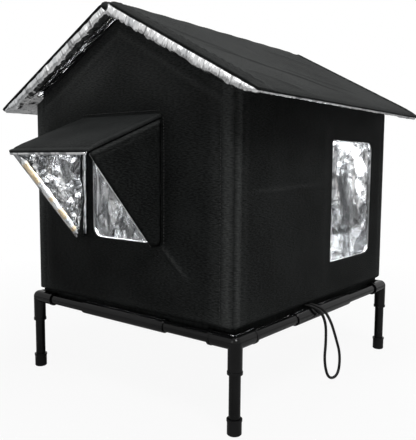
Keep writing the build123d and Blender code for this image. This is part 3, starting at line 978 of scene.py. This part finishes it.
def make_floor_panel():
    """The floor board in its cloth cover, which lies on the rails and sags between them"""
    low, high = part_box("floor_panel")
    half_x = high.x / MM
    half_y = (high.y - low.y) / 2 / MM
    thick = (high.z - low.z) / MM
    collar_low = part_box("corner_connector_front_right")[0]
    sleeve_low, sleeve_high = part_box("rail_sleeve_front")
    side_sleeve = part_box("rail_sleeve_right")
    rail_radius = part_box("rail_tube_front_left")[1].z / MM
    sleeve_radius = (sleeve_high.z - sleeve_low.z) / 2 / MM
    rail_z = (sleeve_high.z + sleeve_low.z) / 2 / MM
    rail_radius -= rail_z
    rail_x = (side_sleeve[0].x + side_sleeve[1].x) / 2 / MM
    rail_y = middle_y - (sleeve_low.y + sleeve_high.y) / 2 / MM
    collar_radius = sleeve_radius + 0.7
    sleeve_half = sleeve_high.x / MM + 3
    board_z = low.z / MM
    place = plane((0, 0, board_z), (1, 0, 0), (0, 1, 0))
    corners = [(-half_x, -half_y, 4), (half_x, -half_y, 4), (half_x, half_y, 4), (-half_x, half_y, 4)]
    loop = rounded(corners, 4)
    socket_x = collar_low.x / MM - 3
    socket_y = rail_y - (rail_x - collar_low.x / MM) - 3

    def rest_on(gap, run, socket):
        """The lowest the cloth can lie beside a rail, at gap from its axis and run along it"""
        radius = rail_radius + (sleeve_radius - rail_radius) * ease((sleeve_half + 6 - run) / 6)
        radius += (collar_radius - rail_radius) * ease((run - socket + 6) / 6) + 0.4
        return rail_z + np.sqrt(np.clip(radius ** 2 - gap ** 2, 0, None))

    def shape(points, outer, hole):
        u, v = np.abs(points).T
        bottom = np.maximum(rest_on(rail_x - u, v, socket_y), rest_on(rail_y - v, u, socket_x))
        lowest = board_z - floor_sag - 0.3 * noise(points, 60, 9)
        bottom = np.clip(bottom, lowest, board_z) - board_z
        lift = thick * 0.45 + (thick * 0.55 - 0.2) * round_over(outer, 2)
        under = thick * 0.45 + (bottom - thick * 0.45) * round_over(outer, 1.2)
        return lift, under, level_at(points, thick * 0.45), level_at(points, 0)

    piece = pillow("floor_board", place, [loop], 5, shape, rims=(0.4, 1.2, 3, 5, 7.5, 10))
    finish_piece(piece, wall_cloth, "cabin", "oxford_black", "floor_panel", fill=0.9)


make_floor_panel()


# The roof

cos_pitch, sin_pitch = math.cos(roof_pitch), math.sin(roof_pitch)
border_width = 26


def slope_plane(side):
    """The face between a slope's cover and its foil pad, side 1 right and -1 left; v climbs to the ridge"""
    return plane((side * cover_top_x, 0, cover_top_z), (0, side, 0), (-side * cos_pitch, 0, sin_pitch))


def slope_outline(side, spacing, inset, eave_inset, top):
    """A slope's outline, pulled in from its ends and its eave"""
    ends = sorted((side * (roof_front + inset), side * (roof_back - inset)))
    low = -roof_cover_length + eave_inset
    return rounded([(ends[0], low, 6), (ends[1], low, 6), (ends[1], top, 1), (ends[0], top, 1)], spacing)


def slope_edges(points, side):
    """Distances from a slope's front, back, eave and ridge edges"""
    u, v = points.T
    return side * u - roof_front, roof_back - side * u, v + roof_cover_length, -v


def cover_shape(side, seed):
    """Heights of a slope's cloth: a rolled, puckered border round a sagging field with fold lines, with
    painted light: the field paler than the border, and painted highlights on the border's ribs, its valley
    edge, its outer edge, the eave and the fold lines
    """
    def shape(points, outer, hole):
        v = points[:, 1]
        front, back, eave, ridge = slope_edges(points, side)
        roll = np.minimum(front, back)
        ease_eave = ease(eave / 26)
        lift = 2.6 + 5.0 * round_over(roll, border_width * 0.8) * ease(0.25 + eave / 30)
        lift = np.minimum(lift, 2.6 + 2.6 * round_over(eave, 4) + 1.8 * ease(eave / 40))
        lift -= 3.6 * bump(roll, border_width, 2.6) * ease_eave
        drift = noise(np.stack([v, points[:, 0]], 1), 22, seed)
        wave = np.sin(v / 0.95 + 2.2 * drift)
        lift += 0.85 * wave * bump(roll, border_width - 7, 5) * ease_eave
        slow_wave = np.sin(v / 2.7 + 3 * noise(points, 40, seed + 1))
        lift += 0.8 * slow_wave * bump(roll, border_width + 5, 6) * ease_eave
        field = ease((roll - border_width - 3) / 40) * ease(eave / 40) * ease(ridge / 30)
        lift -= 1.2 * ease((roll - border_width) / 12)
        lift += field * (1.3 * noise(points, 120, seed + 2) + 0.8 * noise(points, 55, seed + 3))
        open_field = ease((roll - border_width) / 9)
        # Painted light: the open field is paler than the rolled border, which is left dark as painted shade
        sheen_and_tint = (0.5 + 0.25 * noise(points, 90, seed + 4)) * open_field * ease(eave / 30)
        # Painted highlight lines beside the border's valley and along the eave
        sheen_and_tint += 0.6 * bump(roll, border_width + 5, 2.5) * ease_eave + 0.25 * bump(eave, 10, 8)
        # Painted highlights on the border's ribs and its outer edge
        sheen_and_tint += 0.25 * ease(wave) * bump(roll, border_width - 8, 6) + 0.3 * bump(roll, 2, 2)
        for start, end, width, rise, paleness in roof_marks[side]:
            line = crease(points, start, end, width)
            lift += rise * line
            sheen_and_tint += paleness * line
        under = 2.4 * (1 - round_over(roll, 9))
        seam = np.where(roll < 3, 2.8, np.where(eave < 3, 1.4, 2.0))
        return np.maximum(lift, 3.2 - 2 * (roll > 3)), under, seam, sheen_and_tint
    return shape


# Fold lines as start, end, width, rise and painted highlight along the fold; a negative last number paints
# shade along a valley
roof_marks = {
    1: [((-250, -60), (-90, -190), 4, 1.6, 0.2), ((-225, -120), (60, -255), 5, 1.8, 0.25),
        ((-60, -150), (150, -262), 5, 1.4, 0.2), ((-235, -225), (-110, -282), 6, 1.5, 0.2),
        ((40, -40), (230, -120), 7, 1.1, 0.15), ((-215, -128), (66, -262), 4, -1.2, -0.4)],
    -1: [((-230, -90), (-40, -210), 6, 1.6, 0.2), ((-60, -60), (140, -230), 6, 1.6, 0.2),
         ((90, -120), (240, -250), 6, 1.5, 0.2)],
}


def pad_shape(side, seed):
    """Heights of a slope's foil pad: crumpled below, fuller where it hangs past the front and back walls"""
    def shape(points, outer, hole):
        v = points[:, 1]
        front, back, eave, ridge = slope_edges(points, side)
        roll = np.minimum(front, back)
        past_end = (1 - ease((roll - 10) / 15)) * ease((eave + 4) / 40)
        clear_of_wall = 1 - ease((eave - 42) / 8) * ease((roll - 24) / 4)
        under = -pad_thickness * (0.5 + 0.5 * ease(eave / 36))
        under -= past_end * 4.2
        sway = noise(np.stack([v, roll * 0.3], 1), 15, seed + 3)
        under -= past_end * (1.3 * sway + 0.7 * noise(np.stack([v, roll], 1), 6.5, seed + 4))
        dents = np.abs(crumple(points * [1, 0.6], 22, seed))
        under += (1.1 - 2.6 * clear_of_wall) * dents * round_over(outer, 8)
        fold = np.sin(v / 2.1 + 3 * noise(np.stack([v, roll], 1), 15, seed + 5))
        under += 0.3 * fold * bump(roll, 7, 5) * ease(eave / 30)
        slant = np.stack([v + 0.8 * roll * side, roll * 0.4], 1)
        under -= past_end * 3.0 * np.abs(crumple(slant, 13, seed + 8)) * ease(roll / 5)
        edge_roll = np.where(roll < eave, round_over(roll, 3.5), round_over(eave, 6))
        top = -0.3 + 2.3 * (1 - round_over(roll, 9))
        seam = np.where(roll < 2, -1.5, -1.8)
        under = seam + (under - seam) * edge_roll
        return top, np.minimum(under, top - 0.8), seam, level_at(points, 0)
    return shape


def make_roof():
    """Two slopes, each a cloth cover over a foil pad"""
    for side, word in ((1, "right"), (-1, "left")):
        place = slope_plane(side)
        outline = slope_outline(side, 2.8, 0, 0, 0)
        shape = cover_shape(side, 50 + side)
        cover = pillow(f"slope_cover_{word}", place, [outline], roof_spacing, shape,
                       rims=(0.4, 1.2, 2.6, 4.6), seed=6)
        finish_piece(cover, roof_cloth, f"roof_{word}", "oxford_black", f"roof_cover_{word}", fill=0.6)
        for end, at in (("front", roof_front + border_width), ("back", roof_back - border_width)):
            sew(f"slope_seam_{word}_{end}", place, [outline], shape,
                (side * at, 24 - roof_cover_length), (side * at, -9), f"roof_{word}")
        edge = ruffled(slope_outline(side, 2.2, 0.9, 3.5, 3.0), 0.75, 13, 66 + side)
        pad = pillow(f"slope_foil_{word}", place, [edge], roof_spacing, pad_shape(side, 60 + side),
                     rims=(0.5, 1.2, 2.2, 3.4, 5.4), seed=7)
        finish_piece(pad, edge_foil, f"roof_{word}", "foil", f"roof_pad_{word}", fill=0.6)


make_roof()


def make_ridge():
    """The puckered roll of cloth along the ridge"""
    low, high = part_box("roof_ridge")
    radius = (high.x - low.x) / 2
    centre_z = high.z - radius
    length = high.y - low.y
    count = 300
    path, radii = [], []
    for k in range(count + 1):
        share = k / count
        from_end = min(share, 1 - share) * length
        cap = round_over(from_end, radius * 0.9) * (0.72 + 0.28 * ease(from_end / (ridge_taper * MM)))
        wave = 0.35 * math.sin(share * 560 + 2 * math.sin(share * 37)) + 0.3 * math.sin(share * 61)
        path.append((0.3 * MM * math.sin(share * 23), low.y + share * length,
                     centre_z - 0.0015 * (1 - ease(from_end / (ridge_taper * MM)))))
        radii.append((radius - 0.6 * MM + wave * MM) * max(cap, 0.12))
    # The whole roll is drawn paler by a constant 0.75 of the cloth's pale blend
    piece = tube("ridge_roll", path, radii, 0.75, 22)
    finish_piece(piece, roof_cloth, "roof", "oxford_black", "roof_ridge", fill=0.8)


make_ridge()


# The hood

cos_drop, sin_drop = math.cos(hood_drop), math.sin(hood_drop)
hood_plane = plane((0, hood_axis_y, hood_axis_z), (1, 0, 0), (0, cos_drop, sin_drop))
hood_root = 3.2


def make_hood():
    """The cloth top of the hood and the foil under it"""
    half = hood_width / 2
    loop = rounded([(-half, -hood_length, 4), (half, -hood_length, 4), (half, hood_root, 2),
                    (-half, hood_root, 2)], hood_spacing)

    def cover(points, outer, hole):
        u, v = points.T
        side = half - np.abs(u)
        front = v + hood_length
        lift = -0.4 + 2.0 * round_over(front, 3) + 2.2 * ease(front / 30)
        lift = np.minimum(lift, -0.4 + 4.4 * round_over(side, 4.5))
        lift = np.minimum(lift, 3.7 + np.clip(-v / 12, 0, 1) * 2)
        lift += (0.9 * ease(outer / 26) + 0.4 * noise(points, 34, 71)) * ease(outer / 12)
        fan = np.sin(np.hypot(u - half, v) / 2.2 + 1.5 * noise(points, 30, 72))
        lift += 0.14 * fan * bump(np.hypot(u - half, v), 50, 40)
        lift += 0.9 * crease(points, (half - 6, -4), (10, -52), 5)
        lift -= 1.1 * bump(side, 6, 1.5) * ease(front / 8) + 0.8 * bump(front, 9, 1.8)
        # Paler over the whole top, and paler still along the side and front edges
        sheen_and_tint = 0.42 + 0.2 * noise(points, 30, 74) + 0.5 * bump(side, 2.6, 2) + 0.35 * bump(front, 4, 3)
        under = -1.0 - 0.9 * round_over(outer, 3)
        return lift, under, level_at(points, -0.9), sheen_and_tint

    piece = pillow("hood_cover", hood_plane, [loop], hood_spacing, cover, rims=(0.4, 1.2, 2.4, 4.2), seed=8)
    finish_piece(piece, hood_cloth, "awning", "oxford_black", "awning_cover", fill=0.6)

    hem = 1.4
    inner = rounded([(-half + 2.5, -hood_length - hem, 3), (half - 4, -hood_length - hem, 3),
                     (half - 8, 8 - hood_length, 3), (half - 8, hood_root - 1, 2),
                     (-half + 2.5, hood_root - 1, 2)], hood_spacing)
    inner = ruffled(inner, 0.25, 7, 75)

    def foil_sheet(points, outer, hole):
        front = bump(points[:, 1] + hood_length, 0, 5)
        full = ease((-points[:, 1] - 2) / 16)
        under = -2.4 - (1.1 + 0.8 * np.abs(crumple(points, 24, 73)) * ease(outer / 8)) * full - 1.1 * front
        top = np.maximum(-1.9, -1.0 - outer)
        return top, under, level_at(points, -1.6), level_at(points, 0)

    piece = pillow("hood_foil", hood_plane, [inner], 2.8, foil_sheet, rims=(0.6, 1.8), seed=9)
    finish_piece(piece, fine_foil, "awning", "foil", "awning_lining", fill=0.5)


make_hood()

gusset_root = -(wall_y + 0.6)
hood_reach = hood_length - 3
gusset_tip = (hood_axis_y - hood_reach * cos_drop, hood_axis_z - hood_reach * sin_drop - 1.8)


def beside(points, start, run):
    """Distances from the straight line through start along run"""
    return np.abs((points - start) @ np.array([-run[1], run[0]])) / math.hypot(*run)


def gusset_hem(name, place, side, first, last, width, warmth):
    """A flattened roll of foil along one edge of a gusset's inner face"""
    share = np.linspace(0, 1, hem_steps)
    line = last - first
    length = math.hypot(*line)
    inward = np.array([-line[1], line[0]]) / length
    if inward @ (np.array([side * (gusset_root - 40), 380]) - first) < 0:
        inward = -inward
    run = np.stack([share * length, np.zeros(hem_steps)], 1)
    ends = 0.3 + 0.7 * ease(np.minimum(share, 1 - share) * 14)
    radii = (width + 0.5 * noise(run, 9, 93) + 0.3 * noise(run, 4, 94)) * ends
    spots = first + line * (0.03 + 0.89 * share)[:, None]
    spots = spots + inward * (width + 0.5 + 0.6 * noise(run, 16, 96))[:, None]
    patches = warmth * ease((noise(run, 14, 97) - 0.05) * 3)
    hem = tube(name, place(spots, -hem_depth), radii * MM, patches, 14)
    middle = side * (gusset_x - hem_depth) * MM
    for vertex in hem.data.vertices:
        vertex.co.x = middle + (vertex.co.x - middle) * hem_flatness
    return finish_piece(hem, hem_foil, "cabin", "foil", fill=0.5)


def make_gussets():
    """The two side flaps: cloth outside, foil inside"""
    for side, word in ((1, "right"), (-1, "left")):
        place = plane((side * gusset_x, 0, 0), (0, side, 0), (0, 0, 1))
        low = np.array([side * gusset_root, gusset_bottom])
        top = np.array([side * gusset_root, hood_axis_z - 0.6])
        tip = np.array([side * gusset_tip[0], gusset_tip[1]])
        toe = np.array([side * -(wall_y + gusset_toe), gusset_bottom])
        loop = rounded([(*low, 1), (*top, 1), (*tip, 2), (*toe, 3)][::-side], gusset_spacing)

        def cloth(points, outer, hole):
            lift = 0.2 + (gusset_thickness / 2 - 0.3) * round_over(outer, 3)
            lift += 0.4 * noise(points, 26, 81 + side) * ease(outer / 10)
            aside = beside(points, top, tip - top)
            lift += 1.7 * bump(aside, 4.5, 3.4) * round_over(outer, 4) - 0.9 * bump(aside, 11, 1.8)
            # Painted highlight along the raised band under the top edge
            sheen_and_tint = 0.6 * bump(aside, 5.5, 5) + 0.1
            return lift, level_at(points, 0), level_at(points, 0.1), sheen_and_tint

        def film(points, outer, hole):
            root = np.abs(points[:, 0]) - abs(gusset_root)
            upright = points * [1, 0.3]
            under = -0.6 - 1.5 * round_over(outer, 2)
            under -= 1.9 * crumple(upright, 26, 91 + side) * ease(outer / 7)
            packed = bump(root, 24, 9)
            under -= (0.15 + 0.8 * packed) * crumple(points * [1, 0.5], 9, 95 + side) * ease(outer / 4)
            under += 1.5 * bump(beside(points, toe, tip - toe), 0, 8)
            under = np.minimum(under, -0.45)
            return level_at(points, -0.1), under, level_at(points, -0.15), level_at(points, 0)

        pieces = [
            finish_piece(pillow(f"gusset_cloth_{word}", place, [loop], gusset_spacing, cloth,
                                rims=(0.5, 1.5, 3), seed=10),
                         wall_cloth, "cabin", "oxford_black", f"awning_gusset_{word}", fill=0.5),
            finish_piece(pillow(f"gusset_foil_{word}", place, [loop], gusset_foil_spacing, film,
                                rims=(0.5, 1.2, 2.4), seed=11),
                         fine_foil, "cabin", "foil", fill=0.5),
            gusset_hem(f"gusset_hem_free_{word}", place, side, toe, tip, free_hem_width,
                       0.9 * (side < 0)),
            gusset_hem(f"gusset_hem_root_{word}", place, side, low, top, root_hem_width, 0),
        ]
        for piece in pieces:
            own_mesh(piece)


make_gussets()
